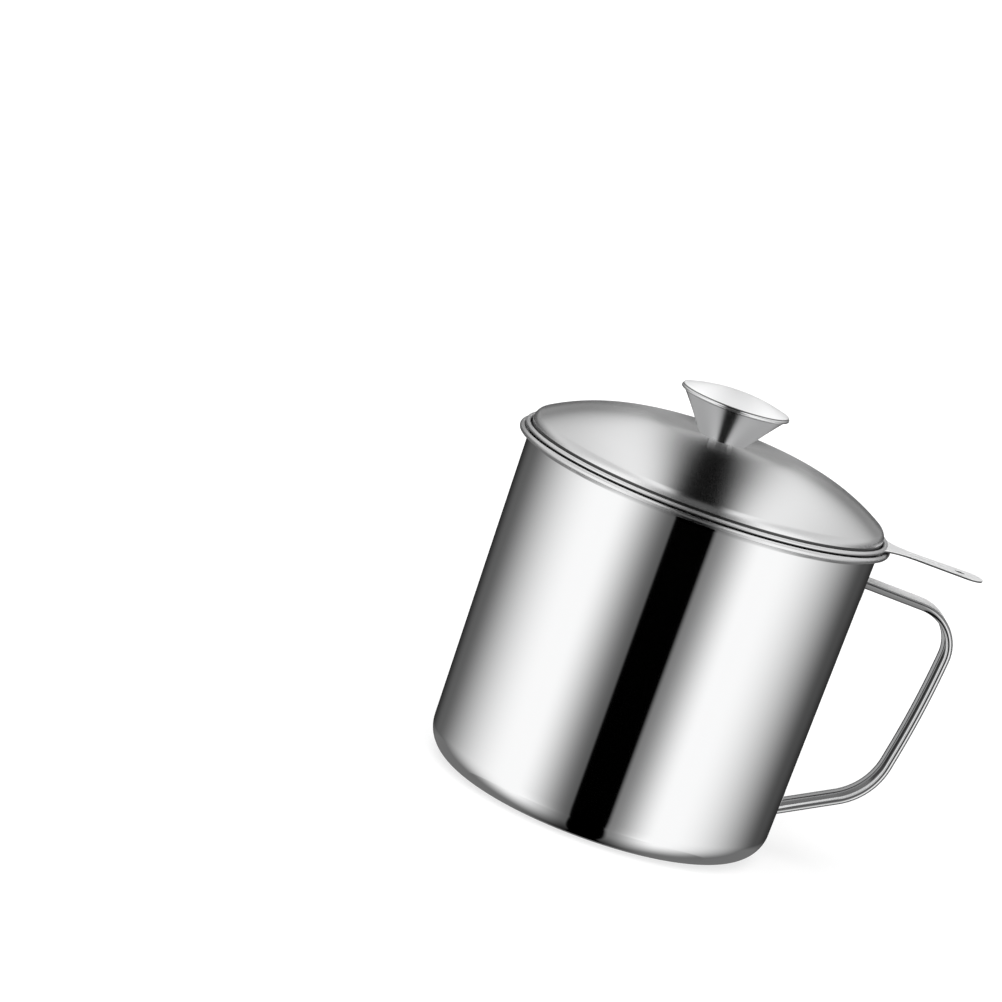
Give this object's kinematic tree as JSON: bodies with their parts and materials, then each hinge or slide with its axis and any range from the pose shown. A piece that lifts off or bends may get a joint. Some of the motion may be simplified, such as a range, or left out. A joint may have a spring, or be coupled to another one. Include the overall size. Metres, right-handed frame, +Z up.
{
  "type": "bacon grease container",
  "caption": "Round steel cup with a strap handle, a lift-out mesh strainer with its own flat strip handle, and a domed lid with a cone-shaped knob, for straining and keeping cooking fat.",
  "frame": {"origin": "Middle of the cup's flat base, on the surface it stands on", "axes": "+Z up, +X towards the cup's strap handle, +Y to its left seen from above with the handle pointing right"},
  "size_m": [0.1583, 0.1272, 0.1444],
  "materials": {
    "polished_steel": "mirror-polished stainless steel",
    "strainer_steel": "polished stainless steel",
    "fastener_steel": "plain stainless steel"
  },
  "bodies": {
    "cup": {"cup_shell": "polished_steel", "handle_strap": "polished_steel"},
    "strainer": {"strainer_frame": "strainer_steel", "strainer_mesh": "strainer_steel", "mesh_clamp_ring": "strainer_steel"},
    "lid": {"lid_shell": "polished_steel", "knob_cone": "polished_steel", "knob_cap": "polished_steel", "knob_nut": "fastener_steel", "screw_washer": "fastener_steel", "knob_screw": "fastener_steel"}
  },
  "joints": [
    {"name": "strainer_lift", "type": "slide", "parent": "cup", "child": "strainer", "axis": [0, 0, 1], "range_m": [0, 0.09]},
    {"name": "lid_lift", "type": "slide", "parent": "strainer", "child": "lid", "axis": [0, 0, 1], "range_m": [0, 0.06]}
  ]
}
